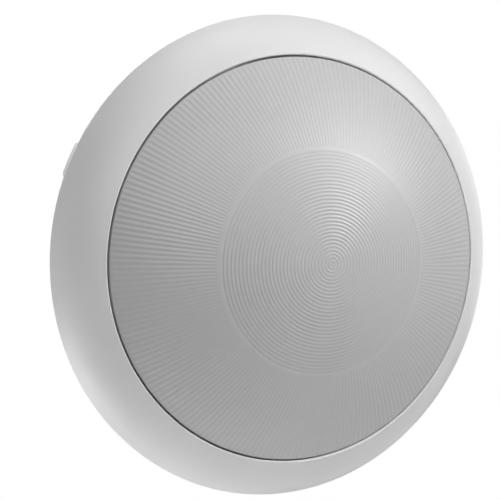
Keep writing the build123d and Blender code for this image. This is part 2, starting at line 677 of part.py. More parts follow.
def led_board():
    board = post(LED_BOARD_R, SINK_TOP, LED_Z)
    for angle in LED_SCREW_ANGLES:
        board -= at(angle, LED_SCREW_R) * post(SCREW_R, SINK_TOP, LED_Z)
    return board


def led_screws():
    one = screw(SCREW_R, SCREW_HEAD_R, SCREW_HEAD_T, BOARD_T + SINK_H / 2)
    return around(LED_SCREW_ANGLES, LED_SCREW_R, Pos(0, 0, LED_Z) * one)


def led_packages():
    """One large emitter in the middle and a ring of small ones."""
    small = block(LED_SIDE, LED_SIDE, LED_Z, LED_Z + LED_H)
    ring = [at(a, LED_RING_R) * small for a in even(LED_COUNT)]
    return Compound([block(MAIN_LED_SIDE, MAIN_LED_SIDE, LED_Z, LED_Z + LED_H)] + ring)


def half_ball(r):
    """Half ball on the Z = 0 plane."""
    return spun(profile(Line((0, 0), (r, 0)), RadiusArc((r, 0), (0, r), -r), Line((0, r), (0, 0))))


def led_domes():
    """Clear silicone domes over the emitters."""
    lift = Pos(0, 0, LED_Z + LED_H)
    ring = [at(a, LED_RING_R) * lift * half_ball(LED_DOME_R) for a in even(LED_COUNT)]
    return Compound([lift * half_ball(MAIN_LED_DOME_R)] + ring)


def link_pins():
    """Header that joins the light board to the main board."""
    pin = block(LINK_SIDE, LINK_SIDE, BOARD_TOP, SINK_TOP)
    first = -(LINK_PINS - 1) / 2 * LINK_PITCH
    return Compound([Pos(first + k * LINK_PITCH, -SINK_R / 3, 0) * pin for k in range(LINK_PINS)])


def reflector():
    """White dish that covers the main board and surrounds the light source."""
    outer_r = BOARD_R + SEAT_GAP
    inner_r = LED_BOARD_R + 2 * SIDE_GAP
    edge = BOARD_TOP + MOVE_GAP
    rise = LED_Z - REFLECTOR_T
    section = profile(
        Line((inner_r, rise), (outer_r, edge)),
        Line((outer_r, edge), (outer_r, edge + REFLECTOR_T)),
        Line((outer_r, edge + REFLECTOR_T), (inner_r, LED_Z)),
        Line((inner_r, LED_Z), (inner_r, rise)),
    )
    dish = spun(section)
    share = (outer_r - REFLECTOR_LEG_PITCH) / (outer_r - inner_r)
    top = edge + share * (rise - edge) + REFLECTOR_T / 2
    for angle in LEG_ANGLES:
        dish += at(angle, REFLECTOR_LEG_PITCH) * post(REFLECTOR_LEG_R, BOARD_TOP, top)
    room = post(SCREW_HEAD_R + MOVE_GAP, BOARD_TOP, BOARD_TOP + SCREW_HEAD_T + MOVE_GAP)
    for angle in BOSS_ANGLES:
        dish -= at(angle, MIDDLE_R) * room
    return dish


def controller_chip():
    return at(INDUCTOR_ANGLE, CHIP_R) * block(CHIP_SIDE, CHIP_SIDE, BOARD_TOP, BOARD_TOP + CHIP_T)


# ---------------------------------------------------------------- sounder
def diaphragm_z():
    """Level of the ledge that carries the diaphragm."""
    return passage_levels()[1]


def horn_cap_z():
    return BOARD_Z - SIDE_GAP - HORN_CAP_T


def horn_body():
    """Round chamber with a flared passage to the opening in the housing's ring wall."""
    bore = HORN_R - HORN_WALL
    cup = Pos(MIDDLE_R, 0, 0) * post(HORN_R, FLOOR_TOP, horn_cap_z())
    wide = degrees((HORN_MOUTH / 2 + HORN_WALL) / SEAT_IN_R)
    cheeks = band(MIDDLE_R, SEAT_IN_R, FLOOR_TOP, diaphragm_z() + HORN_ROOF, -wide, wide)
    body = cup + cheeks
    body -= Pos(MIDDLE_R, 0, 0) * post(bore, diaphragm_z(), horn_cap_z())
    body -= Pos(MIDDLE_R, 0, 0) * post(bore - HORN_LEDGE, FLOOR_TOP + HORN_FLOOR, diaphragm_z())
    body -= horn_passage(*passage_levels())
    return at(HORN_ANGLE) * body


def horn_place():
    return at(HORN_ANGLE, MIDDLE_R)


def horn_diaphragm():
    radius = HORN_R - HORN_WALL - MOVE_GAP / 2
    return horn_place() * post(radius, diaphragm_z(), diaphragm_z() + DIAPHRAGM_T)


def piezo_disc():
    low = diaphragm_z() + DIAPHRAGM_T
    return horn_place() * post(PIEZO_R, low, low + PIEZO_T)


def horn_cap():
    """Lid of the chamber, with the ring that holds the diaphragm down."""
    bore = HORN_R - HORN_WALL - MOVE_GAP / 2
    lid = post(HORN_R, horn_cap_z(), horn_cap_z() + HORN_CAP_T)
    lid += band(bore - HORN_LEDGE, bore, diaphragm_z() + DIAPHRAGM_T, horn_cap_z())
    return horn_place() * lid


# ---------------------------------------------------------------- components under the board
def storage_capacitors():
    """Cans that lie side by side under the board."""
    can = Pos(0, 0, BOARD_Z - CAPACITOR_R) * Rot(0, 90, 0) * Cylinder(CAPACITOR_R, CAPACITOR_L)
    pitch = 2 * CAPACITOR_R + SEAT_GAP
    first = -(CAPACITOR_COUNT - 1) / 2 * pitch
    row = [Pos(0, first + k * pitch, 0) * can for k in range(CAPACITOR_COUNT)]
    return at(CAPACITOR_ANGLE, MIDDLE_R) * Compound(row)


def inductor_core():
    """Ferrite bobbin with two flanges."""
    spool = post(INDUCTOR_CORE_R, HUNG_Z, BOARD_Z)
    spool += post(INDUCTOR_R, HUNG_Z, HUNG_Z + INDUCTOR_LIP_T)
    spool += post(INDUCTOR_R, BOARD_Z - INDUCTOR_LIP_T, BOARD_Z)
    return at(INDUCTOR_ANGLE, MIDDLE_R) * spool


def inductor_coil():
    """Copper winding between the flanges."""
    low = HUNG_Z + INDUCTOR_LIP_T
    high = BOARD_Z - INDUCTOR_LIP_T
    return at(INDUCTOR_ANGLE, MIDDLE_R) * band(INDUCTOR_CORE_R, INDUCTOR_R - COIL_GAP, low, high)


def horn_transformer():
    """Step-up transformer that drives the sounder."""
    core = block(TRANSFORMER_SIDE, TRANSFORMER_SIDE, HUNG_Z, BOARD_Z)
    return at(TRANSFORMER_ANGLE, MIDDLE_R) * core


# ---------------------------------------------------------------- selectors
def rotary_switch():
    """Switch body under the board, with the bore of the selector's shaft."""
    low = FLOOR_Z + KNOB_RECESS + KNOB_H + MOVE_GAP
    body = block(SWITCH_SIDE, SWITCH_SIDE, low, BOARD_Z)
    return body - post(SHAFT_R + RUNNING_GAP, low, low + SHAFT_L)


def rotary_knob():
    """Selector with a screwdriver slot, turned from behind the head."""
    low = FLOOR_Z + KNOB_RECESS
    knob = post(KNOB_R, low, low + KNOB_H) + post(SHAFT_R, low + KNOB_H, low + KNOB_H + SHAFT_L)
    slot = Pos(0, 0, low) * Box(KNOB_SLOT_L, DRIVE_W, 2 * KNOB_SLOT_DEPTH)
    pointer = Pos(KNOB_R, 0, low) * Cylinder(DRIVE_W / 2, 2 * KNOB_SLOT_DEPTH)
    return knob - slot - pointer


def candela_switch():
    return at(CANDELA_ANGLE, MIDDLE_R) * rotary_switch()


def candela_selector():
    return at(CANDELA_ANGLE, MIDDLE_R) * rotary_knob()


def tone_switch():
    return at(TONE_ANGLE, MIDDLE_R) * rotary_switch()


def tone_selector():
    return at(TONE_ANGLE, MIDDLE_R) * rotary_knob()


def slider_window(z0, z1):
    """Opening that the volume slider travels in, along the plate's radius."""
    length = SLIDER_L + SLIDER_TRAVEL + 2 * MOVE_GAP
    return Pos(SLIDER_TRAVEL / 2, 0, 0) * block(length, SLIDER_W + 2 * MOVE_GAP, z0, z1)


def volume_switch():
    """Body of the slide switch."""
    low = BOARD_Z - SLIDE_SWITCH_H
    body = Pos(SLIDER_TRAVEL / 2, 0, 0) * block(SLIDE_SWITCH_L, SLIDE_SWITCH_W, low, BOARD_Z)
    window = slider_window(low, low + SLIDER_DEPTH + MOVE_GAP)
    return at(VOLUME_ANGLE, MIDDLE_R) * (body - window)


def volume_slider():
    """Actuator of the slide switch, moved from behind the head."""
    high = BOARD_Z - SLIDE_SWITCH_H + SLIDER_DEPTH
    return at(VOLUME_ANGLE, MIDDLE_R) * block(SLIDER_L, SLIDER_W, FLOOR_Z + KNOB_RECESS, high)


# ---------------------------------------------------------------- export
PARTS = (
    mounting_plate,
    terminal_block,
    terminal_contacts,
    terminal_clamps,
    terminal_screws,
    latch_spring,
    release_latch,
    rear_housing,
    bezel,
    bezel_screws,
    lens,
    lens_gasket,
    main_board,
    board_screws,
    contact_blades,
    heat_spreader,
    led_board,
    led_screws,
    led_packages,
    led_domes,
    link_pins,
    reflector,
    controller_chip,
    horn_body,
    horn_diaphragm,
    piezo_disc,
    horn_cap,
    storage_capacitors,
    inductor_core,
    inductor_coil,
    horn_transformer,
    candela_switch,
    candela_selector,
    tone_switch,
    tone_selector,
    volume_switch,
    volume_slider,
)


def export():
    """Turns each part so that the wall is the plane Y = 0 and the front faces -Y, and writes it."""
    os.makedirs("parts", exist_ok=True)
    for make in PARTS:
        export_step(Rot(90, 0, 0) * make(), f"parts/{make.__name__}.step")


export()
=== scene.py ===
# %% [markdown]
# # A round horn strobe, from frame to finish
# The real object is a fire alarm device for a wall. A white moulded ring holds a domed, frosted lens. Behind the
# lens sit a strobe light, a sounder and the boards, and a plate behind it all is screwed to the wall.
# The exact shapes come from a packed engineering model, the frame. This lesson puts finishes on that frame, and
# makes the few pieces again that need finer detail: the pressed lens, the springs and the windings.

# %% Load the frame
import json
import math

import bpy
import numpy as np
from mathutils import Matrix, Vector


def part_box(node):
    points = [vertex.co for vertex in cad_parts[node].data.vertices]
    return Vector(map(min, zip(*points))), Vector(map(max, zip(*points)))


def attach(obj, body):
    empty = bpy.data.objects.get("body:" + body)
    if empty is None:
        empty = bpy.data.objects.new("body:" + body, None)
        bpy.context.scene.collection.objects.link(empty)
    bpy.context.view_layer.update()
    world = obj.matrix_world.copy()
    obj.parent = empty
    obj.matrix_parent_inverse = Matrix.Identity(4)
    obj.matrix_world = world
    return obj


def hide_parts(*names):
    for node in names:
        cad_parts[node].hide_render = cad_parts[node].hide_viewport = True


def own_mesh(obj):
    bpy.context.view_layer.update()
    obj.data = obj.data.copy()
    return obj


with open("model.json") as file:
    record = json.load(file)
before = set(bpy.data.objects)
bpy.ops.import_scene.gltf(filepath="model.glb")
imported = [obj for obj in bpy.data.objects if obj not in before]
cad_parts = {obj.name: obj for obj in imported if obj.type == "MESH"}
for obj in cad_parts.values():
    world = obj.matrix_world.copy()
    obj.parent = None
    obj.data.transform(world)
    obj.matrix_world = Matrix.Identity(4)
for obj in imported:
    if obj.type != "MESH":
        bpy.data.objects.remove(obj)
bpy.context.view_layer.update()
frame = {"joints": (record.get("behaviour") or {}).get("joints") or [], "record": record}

# %% [markdown]
# ## The camera
# A wall device is seen a little from its left and from just above its middle. The lens of the camera is long, so
# the circles stay nearly true ellipses. The camera could be parented to a target, but a place worked out from two
# angles and a distance is easier to read. A small shift of the sensor sets where the object sits in the frame.

# %% Place the camera
AIM = Vector((0.0, -0.006, 0.0))      # middle of the bezel's rear edge
AZIMUTH = math.radians(-26.34)
ELEVATION = math.radians(4.31)
DISTANCE = 0.519
FOCAL_LENGTH_MM, SENSOR_WIDTH_MM = 103.5, 36.0
SHIFT_X, SHIFT_Y = -0.063, 0.0136
NEAREST = 0.01                        # nearer than this nothing is drawn
back = Vector((
    math.sin(AZIMUTH) * math.cos(ELEVATION),
    -math.cos(AZIMUTH) * math.cos(ELEVATION),
    math.sin(ELEVATION),
))
camera_data = bpy.data.cameras.new("camera")
camera_data.lens = FOCAL_LENGTH_MM
camera_data.sensor_width = SENSOR_WIDTH_MM
camera_data.shift_x = SHIFT_X
camera_data.shift_y = SHIFT_Y
camera_data.clip_start = NEAREST
camera = bpy.data.objects.new("camera", camera_data)
camera.location = AIM + DISTANCE * back
camera.rotation_mode = "QUATERNION"
camera.rotation_quaternion = (-back).to_track_quat("-Z", "Y")
scene = bpy.context.scene
scene.collection.objects.link(camera)
scene.camera = camera
print("camera at", [round(v, 3) for v in camera.location])

# %% [markdown]
# ## Small helpers for trees
# Shaders and Geometry Nodes are both trees of nodes. Adding a node, filling its inputs and linking it takes three
# or four lines each time, so two short helpers do that. An input takes either a plain value or another socket.

# %% Helpers for node trees
def add(tree, kind, inputs=None, **settings):
    """Adds a node with its settings, and fills its inputs with values or links."""
    made = tree.nodes.new(kind)
    for key, value in settings.items():
        setattr(made, key, value)
    for key, value in (inputs or {}).items():
        if isinstance(value, bpy.types.NodeSocket):
            tree.links.new(value, made.inputs[key])
        else:
            made.inputs[key].default_value = value
    return made


def calc(tree, operation, *values, clamp=False):
    """One Math node; returns its result."""
    made = add(tree, "ShaderNodeMath", dict(enumerate(values)), operation=operation, use_clamp=clamp)
    return made.outputs[0]


def ramp(tree, value, low, high):
    """Smooth step from 0 to 1 as the value passes from low to high."""
    made = add(tree, "ShaderNodeMapRange", {0: value, 1: low, 2: high}, interpolation_type="SMOOTHSTEP")
    return made.outputs[0]


def blend(tree, share, first, second):
    """Mix of two colours."""
    made = add(tree, "ShaderNodeMix", {0: share, 6: first, 7: second}, data_type="RGBA")
    return made.outputs[2]


def group(name, inputs, outputs):
    """Empty shader node group with named float inputs (with their usual values) and outputs."""
    tree = bpy.data.node_groups.new(name, "ShaderNodeTree")
    for label, value in inputs.items():
        socket = tree.interface.new_socket(label, in_out="INPUT", socket_type="NodeSocketFloat")
        socket.default_value = value
    for label in outputs:
        tree.interface.new_socket(label, in_out="OUTPUT", socket_type="NodeSocketFloat")
    return tree, tree.nodes.new("NodeGroupInput"), tree.nodes.new("NodeGroupOutput")


print("helpers ready")

# %% [markdown]
# ## Moulded grain
# Plastic that comes out of a mould copies the mould's fine, spark-eroded grain, and its tone drifts a little over
# a hand's width where the melt cooled at different speeds. A picture of grain could be wrapped round the part, but
# noise in three dimensions needs no unwrapping and has no seam. One group serves every plastic here, each with its
# own grain size.

# %% Group: moulded grain
def moulded_grain():
    tree, given, result = group(
        "moulded_grain", {"Grain Scale": 2200.0, "Cloud Scale": 28.0}, ("Height", "Cloud", "Speckle"))
    where = add(tree, "ShaderNodeTexCoord").outputs["Object"]
    grain = add(tree, "ShaderNodeTexNoise", {"Vector": where, "Scale": given.outputs[0], "Detail": 2.0})
    cloud = add(tree, "ShaderNodeTexNoise", {"Vector": where, "Scale": given.outputs[1], "Detail": 3.0})
    dots = add(tree, "ShaderNodeTexVoronoi", {"Vector": where, "Scale": given.outputs[0]})
    height = calc(tree, "MULTIPLY_ADD", dots.outputs["Distance"], 0.35, grain.outputs["Fac"])
    tree.links.new(height, result.inputs["Height"])
    tree.links.new(ramp(tree, cloud.outputs["Fac"], 0.3, 0.7), result.inputs["Cloud"])
    tree.links.new(ramp(tree, grain.outputs["Fac"], 0.35, 0.65), result.inputs["Speckle"])
    return tree


GRAIN = moulded_grain()
print("group", GRAIN.name, "with", len(GRAIN.nodes), "nodes")

# %% [markdown]
# ## Rubbed edges and a painted edge highlight
# Where fingers and tools touch a part, its outer edges get a little smoother, and they are painted a little lighter:
# partly wear, partly a painted highlight along the edges. A Bevel node gives the direction that a rounded surface
# would have. Where that differs from the true direction there is an edge, and noise breaks the edge up so that the
# wear and the painted highlight aren't even.

# %% Group: rubbed edges with a painted highlight
def edge_wear_and_highlight():
    tree, given, result = group("edge_wear_and_highlight", {"Width": 0.0005, "Patch Scale": 160.0}, ("Mask",))
    rounded = add(tree, "ShaderNodeBevel", {"Radius": given.outputs[0]}, samples=3)
    flat = add(tree, "ShaderNodeNewGeometry")
    agree = add(tree, "ShaderNodeVectorMath", {0: rounded.outputs[0], 1: flat.outputs["Normal"]},
                operation="DOT_PRODUCT")
    where = add(tree, "ShaderNodeTexCoord").outputs["Object"]
    patches = add(tree, "ShaderNodeTexNoise", {"Vector": where, "Scale": given.outputs[1], "Detail": 4.0})
    edge = ramp(tree, agree.outputs["Value"], 0.99, 0.85)
    mask = calc(tree, "MULTIPLY", edge, ramp(tree, patches.outputs["Fac"], 0.35, 0.6))
    tree.links.new(mask, result.inputs["Mask"])
    return tree


EDGES = edge_wear_and_highlight()
print("group", EDGES.name, "with", len(EDGES.nodes), "nodes")

# %% [markdown]
# ## Settled dust
# A device on a wall gathers a thin film of dust on every surface that faces up. The object's own normal says
# which surfaces do, and noise makes the film uneven.

# %% Group: settled dust
def settled_dust():
    tree, given, result = group("settled_dust", {"Amount": 0.3, "Patch Scale": 90.0}, ("Mask",))
    source = add(tree, "ShaderNodeTexCoord")
    up = add(tree, "ShaderNodeSeparateXYZ", {0: source.outputs["Normal"]}).outputs["Z"]
    patches = add(tree, "ShaderNodeTexNoise",
                  {"Vector": source.outputs["Object"], "Scale": given.outputs[1], "Detail": 5.0})
    film = calc(tree, "MULTIPLY", ramp(tree, up, 0.35, 0.95), ramp(tree, patches.outputs["Fac"], 0.3, 0.7))
    tree.links.new(calc(tree, "MULTIPLY", film, given.outputs[0]), result.inputs["Mask"])
    return tree


DUST = settled_dust()
print("group", DUST.name, "with", len(DUST.nodes), "nodes")

# %% [markdown]
# ## Drawn scratches
# Sheet metal and wire carry fine parallel lines from the rolls or the die. Noise that is squeezed along one
# direction gives such lines.

# %% Group: drawn scratches
def drawn_lines():
    tree, given, result = group("drawn_lines", {"Line Scale": 3000.0, "Stretch": 0.03}, ("Height", "Stain"))
    where = add(tree, "ShaderNodeTexCoord").outputs["Object"]
    long = add(tree, "ShaderNodeCombineXYZ", {0: given.outputs[1], 1: 1.0, 2: 1.0})
    squeezed = add(tree, "ShaderNodeVectorMath", {0: where, 1: long.outputs[0]}, operation="MULTIPLY")
    lines = add(tree, "ShaderNodeTexNoise",
                {"Vector": squeezed.outputs[0], "Scale": given.outputs[0], "Detail": 3.0})
    stain = add(tree, "ShaderNodeTexNoise", {"Vector": where, "Scale": 220.0, "Detail": 4.0})
    tree.links.new(lines.outputs["Fac"], result.inputs["Height"])
    tree.links.new(ramp(tree, stain.outputs["Fac"], 0.35, 0.7), result.inputs["Stain"])
    return tree


LINES = drawn_lines()
print("group", LINES.name, "with", len(LINES.nodes), "nodes")

# %% [markdown]
# ## Starting a material
# The frame already carries one material for each finish in its record. Its nodes are cleared and built again, so
# every node of the model that names the finish gets the new look at once.

# %% Helper for a finish
def finish_of(slot, roughness, metallic=0.0, ior=1.5):
    """Empties the material of one slot and returns its tree and a new Principled shader."""
    material = bpy.data.materials[slot]
    material.use_nodes = True
    tree = material.node_tree
    tree.nodes.clear()
    shader = add(tree, "ShaderNodeBsdfPrincipled", {"Roughness": roughness, "Metallic": metallic, "IOR": ior})
    output = tree.nodes.new("ShaderNodeOutputMaterial")
    tree.links.new(shader.outputs[0], output.inputs["Surface"])
    return tree, shader


def emboss(tree, shader, height, distance):
    """Bumps the shader's normal by a height."""
    bump = add(tree, "ShaderNodeBump", {"Height": height, "Distance": distance})
    tree.links.new(bump.outputs[0], shader.inputs["Normal"])


RECORD_COLOURS = {entry["slot"]: entry["base_color"] for entry in frame["record"]["materials"]}


def colour_of(slot, brightness=1.0):
    """The record's colour of a finish, made darker or lighter."""
    return (*[min(1.0, c * brightness) for c in RECORD_COLOURS[slot][:3]], 1.0)


# %% [markdown]
# ## The plastics
# Most of the device is moulded: a bright white bezel, a slightly duller housing and plate, and black or grey
# parts inside. They differ in tone, in grain and in how much they are handled, so one recipe with different
# values makes them all: cloud and speckle vary the colour, dust lies on top, and rubbed edges turn lighter, a
# painted highlight along the edges as well as wear.

# %% Moulded plastics
DUST_COLOUR = (0.62, 0.60, 0.56, 1.0)
# The rubbed tone paints worn edges lighter: a painted edge highlight as well as wear.
CLOUD_TONE, SPECKLE_TONE, RUBBED_HIGHLIGHT_TONE = 0.965, 0.93, 1.3
SPECKLE_SHARE = 0.25


def moulded(slot, roughness, grain=2200.0, relief=0.00003, dust=0.15, wear_and_highlight=0.25):
    """Finish of a moulded plastic: drifting tone, fine grain, dust, and rubbed edges that are smoother and painted
    lighter as a highlight.
    """
    tree, shader = finish_of(slot, roughness)
    skin = add(tree, "ShaderNodeGroup", node_tree=GRAIN)
    skin.inputs["Grain Scale"].default_value = grain
    rubbed_and_lit = add(tree, "ShaderNodeGroup", node_tree=EDGES)
    rubbed_and_lit.inputs["Width"].default_value = 0.0004
    film = add(tree, "ShaderNodeGroup", node_tree=DUST)
    film.inputs["Amount"].default_value = dust
    body = blend(tree, skin.outputs["Cloud"], colour_of(slot), colour_of(slot, CLOUD_TONE))
    speckled = calc(tree, "MULTIPLY", skin.outputs["Speckle"], SPECKLE_SHARE)
    body = blend(tree, speckled, body, colour_of(slot, SPECKLE_TONE))
    worn_and_lit = calc(tree, "MULTIPLY", rubbed_and_lit.outputs["Mask"], wear_and_highlight)
    # Painted highlight: the rubbed edges are painted lighter, on top of the wear.
    body = blend(tree, worn_and_lit, body, colour_of(slot, RUBBED_HIGHLIGHT_TONE))
    body = blend(tree, film.outputs["Mask"], body, DUST_COLOUR)
    tree.links.new(body, shader.inputs["Base Color"])
    rough = calc(tree, "MULTIPLY_ADD", skin.outputs["Speckle"], 0.08, roughness - 0.04)
    rough = calc(tree, "MULTIPLY_ADD", worn_and_lit, -0.15, rough)
    rough = calc(tree, "MULTIPLY_ADD", film.outputs["Mask"], 0.3, rough, clamp=True)
    tree.links.new(rough, shader.inputs["Roughness"])
    emboss(tree, shader, skin.outputs["Height"], relief)


moulded("bezel_plastic", 0.42, dust=0.10, wear_and_highlight=0.2)
moulded("housing_plastic", 0.50, grain=1500.0)
moulded("plate_plastic", 0.55, grain=1300.0, relief=0.00005)
moulded("reflector_plastic", 0.28, grain=2600.0, dust=0.05)
moulded("black_plastic", 0.38, dust=0.2, wear_and_highlight=0.5)
moulded("switch_plastic", 0.42, dust=0.1)
moulded("selector_plastic", 0.40, dust=0.1)
print("plastics done")

# %% [markdown]
# ## The metals
# Brass, zinc-plated steel, spring wire and turned aluminium share one recipe as well. What tells them apart is
# colour, roughness, and how far the lines are stretched. A stain darkens each a little in patches, as fingerprints
# and thin oxide do.

# %% Metals
# Rubbed metal edges are painted lighter: a painted edge highlight as well as wear.
RUBBED_METAL_HIGHLIGHT_TONE, RUBBED_HIGHLIGHT_SHARE = 1.25, 0.6
METAL_RELIEF = 0.00001


def metal(slot, roughness, stretch=0.03, lines=3000.0, tarnish=0.75):
    """Finish of a drawn or rolled metal: fine lines, patchy stain, and rubbed edges painted lighter as a highlight.
    """
    tree, shader = finish_of(slot, roughness, metallic=1.0)
    drawn = add(tree, "ShaderNodeGroup", node_tree=LINES)
    drawn.inputs["Line Scale"].default_value = lines
    drawn.inputs["Stretch"].default_value = stretch
    rubbed_and_lit = add(tree, "ShaderNodeGroup", node_tree=EDGES)
    rubbed_and_lit.inputs["Width"].default_value = 0.0002
    body = blend(tree, drawn.outputs["Stain"], colour_of(slot), colour_of(slot, tarnish))
    rubbed_highlight_share = calc(tree, "MULTIPLY", rubbed_and_lit.outputs["Mask"], RUBBED_HIGHLIGHT_SHARE)
    # Painted highlight: the rubbed edges are painted lighter, on top of the wear.
    body = blend(tree, rubbed_highlight_share, body, colour_of(slot, RUBBED_METAL_HIGHLIGHT_TONE))
    tree.links.new(body, shader.inputs["Base Color"])
    rough = calc(tree, "MULTIPLY_ADD", drawn.outputs["Stain"], 0.18, roughness - 0.06)
    rough = calc(tree, "MULTIPLY_ADD", drawn.outputs["Height"], 0.12, rough, clamp=True)
    tree.links.new(rough, shader.inputs["Roughness"])
    emboss(tree, shader, drawn.outputs["Height"], METAL_RELIEF)
    return tree, shader


metal("contact_brass", 0.30)
metal("plated_steel", 0.32, stretch=0.4, lines=1800.0)
metal("spring_steel", 0.25, stretch=0.1)
metal("bare_aluminium", 0.34, stretch=0.02)
print("metals done")

# %% [markdown]
# ## Enamelled copper wire
# The lacquer on winding wire is a clear amber coat over bright copper. The coat makes a second, sharper highlight
# over the metal's soft one.

# %% Copper winding
tree, shader = metal("copper_winding", 0.28, stretch=0.2, tarnish=0.6)
shader.inputs["Coat Weight"].default_value = 0.8
shader.inputs["Coat Roughness"].default_value = 0.12
shader.inputs["Coat Tint"].default_value = (1.0, 0.78, 0.5, 1.0)
print("copper done")

# %% [markdown]
# ## Rubber, ceramics and sleeves
# The quiet finishes inside have no metal and little gloss: silicone rubber with a dusty bloom, sintered ceramics
# with fine pores, ferrite with coarser ones, and a shrink sleeve with a light sheen. A Voronoi pattern gives the
# pores, and each pore is painted darker towards its middle: painted shade in the pit.

# %% Rubber, ceramics, sleeves
def porous(slot, roughness, pores=3500.0, relief=0.00002, depth=0.85):
    """Finish of a dull material with pores; depth is the tone painted at the bottom of a pore as shade, and the tone
    of the darker clouds.
    """
    tree, shader = finish_of(slot, roughness)
    where = add(tree, "ShaderNodeTexCoord").outputs["Object"]
    pits = add(tree, "ShaderNodeTexVoronoi", {"Vector": where, "Scale": pores})
    skin = add(tree, "ShaderNodeGroup", node_tree=GRAIN)
    skin.inputs["Grain Scale"].default_value = pores * 0.6
    pit = ramp(tree, pits.outputs["Distance"], 0.1, 0.45)
    # Painted shade: each pore is darker towards its middle, where it is deepest.
    body = blend(tree, pit, colour_of(slot, depth), colour_of(slot))
    clouded = calc(tree, "MULTIPLY", skin.outputs["Cloud"], 0.5)
    body = blend(tree, clouded, body, colour_of(slot, depth))
    tree.links.new(body, shader.inputs["Base Color"])
    tree.links.new(calc(tree, "MULTIPLY_ADD", pit, -0.1, roughness + 0.05), shader.inputs["Roughness"])
    emboss(tree, shader, pit, relief)
    return tree, shader


porous("gasket_rubber", 0.70, pores=1800.0)
porous("led_ceramic", 0.35)
porous("ferrite", 0.60, pores=2200.0, relief=0.00004, depth=0.6)
porous("piezo_ceramic", 0.30)
tree, shader = porous("capacitor_sleeve", 0.35, pores=1200.0, relief=0.000008)
shader.inputs["Sheen Weight"].default_value = 0.1
print("quiet finishes done")

# %% [markdown]
# ## Circuit boards
# A board is glass laminate under a coloured, slightly glossy solder mask. The copper under the mask shows as
# lighter, raised tracks, and round pads stand free of it. Voronoi cells measured with right-angled distances give
# straight tracks that turn square corners, and round cells on a coarse grid give the pads.

# %% Circuit boards
BOARD_ROUGHNESS, BOARD_RELIEF = 0.32, 0.00003
WEAVE_SHARE, WEAVE_TONE = 0.12, 0.6


def board(slot, track_brightness, pad_colour):
    """Finish of a circuit board: glass weave, tracks under the mask, and bare pads."""
    tree, shader = finish_of(slot, BOARD_ROUGHNESS)
    where = add(tree, "ShaderNodeTexCoord").outputs["Object"]
    cells = add(tree, "ShaderNodeTexVoronoi", {"Vector": where, "Scale": 260.0, "Randomness": 0.8},
                distance="MANHATTAN", feature="F1")
    rings = calc(tree, "FRACT", calc(tree, "MULTIPLY", cells.outputs["Distance"], 5.0))
    track = ramp(tree, rings, 0.55, 0.65)
    spots = add(tree, "ShaderNodeTexVoronoi", {"Vector": where, "Scale": 180.0, "Randomness": 0.55})
    pad = ramp(tree, spots.outputs["Distance"], 0.16, 0.14)
    weave = add(tree, "ShaderNodeTexChecker", {"Vector": where, "Scale": 2600.0})
    woven = calc(tree, "MULTIPLY", weave.outputs["Fac"], WEAVE_SHARE)
    mask = blend(tree, woven, colour_of(slot), colour_of(slot, WEAVE_TONE))
    mask = blend(tree, track, mask, colour_of(slot, track_brightness))
    tree.links.new(blend(tree, pad, mask, pad_colour), shader.inputs["Base Color"])
    tree.links.new(calc(tree, "MULTIPLY", pad, 0.9), shader.inputs["Metallic"])
    tree.links.new(calc(tree, "MULTIPLY_ADD", pad, -0.08, BOARD_ROUGHNESS), shader.inputs["Roughness"])
    emboss(tree, shader, calc(tree, "MAXIMUM", track, pad), BOARD_RELIEF)
    shader.inputs["Coat Weight"].default_value = 0.25
    shader.inputs["Coat Roughness"].default_value = 0.2


board("circuit_board", 1.7, (0.80, 0.62, 0.30, 1.0))
board("led_board_white", 0.93, (0.80, 0.78, 0.74, 1.0))
print("boards done")

# %% [markdown]
# ## Silicone over phosphor
# The light source's domes are soft, clear silicone over a yellow phosphor. Full glass would need many bounces for
# a piece that is a few millimetres wide, so the dome lets part of the light through and keeps its yellow body.

# %% LED silicone
tree, shader = finish_of("led_silicone", 0.12, ior=1.41)
where = add(tree, "ShaderNodeTexCoord").outputs["Object"]
grains = add(tree, "ShaderNodeTexNoise", {"Vector": where, "Scale": 1800.0, "Detail": 3.0})
phosphor = ramp(tree, grains.outputs["Fac"], 0.35, 0.65)
tree.links.new(blend(tree, phosphor, colour_of("led_silicone", 0.85), colour_of("led_silicone")),
               shader.inputs["Base Color"])
tree.links.new(calc(tree, "MULTIPLY_ADD", phosphor, 0.05, 0.08), shader.inputs["Roughness"])
emboss(tree, shader, grains.outputs["Fac"], 0.00001)
shader.inputs["Transmission Weight"].default_value = 0.25
shader.inputs["Coat Weight"].default_value = 0.6
print("silicone done")

# %% [markdown]
# ## The frosted lens
# The lens is milky polycarbonate: it spreads the flash and hides what is behind it. The flutes and rings pressed
# into its face give it a soft, grainy shine. The pressed depth is kept on the mesh as an attribute, so that the
# material can paint shade into each valley, a little darker than the milky ribs beside it. A tenth of the light
# goes straight through, which keeps the lens from looking like painted metal.

# %% Lens plastic
LENS_ROUGHNESS = 0.42
LENS_BRIGHTNESS = 1.22
# The valley tone is painted shade: the pressed valleys are drawn darker than the ribs.
CLOUDED_TONE, VALLEY_SHADE_TONE = 0.97, 0.92
MILK = LENS_BRIGHTNESS * sum(RECORD_COLOURS["lens_plastic"][:3]) / 3


def grey(tone):
    """Neutral colour of one tone."""
    return tone, tone, tone, 1.0


tree, shader = finish_of("lens_plastic", LENS_ROUGHNESS, ior=1.58)
skin = add(tree, "ShaderNodeGroup", node_tree=GRAIN)
skin.inputs["Grain Scale"].default_value = 2600.0
pressed = add(tree, "ShaderNodeAttribute", attribute_name="pressed").outputs["Fac"]
film = add(tree, "ShaderNodeGroup", node_tree=DUST)
film.inputs["Amount"].default_value = 0.08
milk = blend(tree, skin.outputs["Cloud"], grey(MILK), grey(CLOUDED_TONE * MILK))
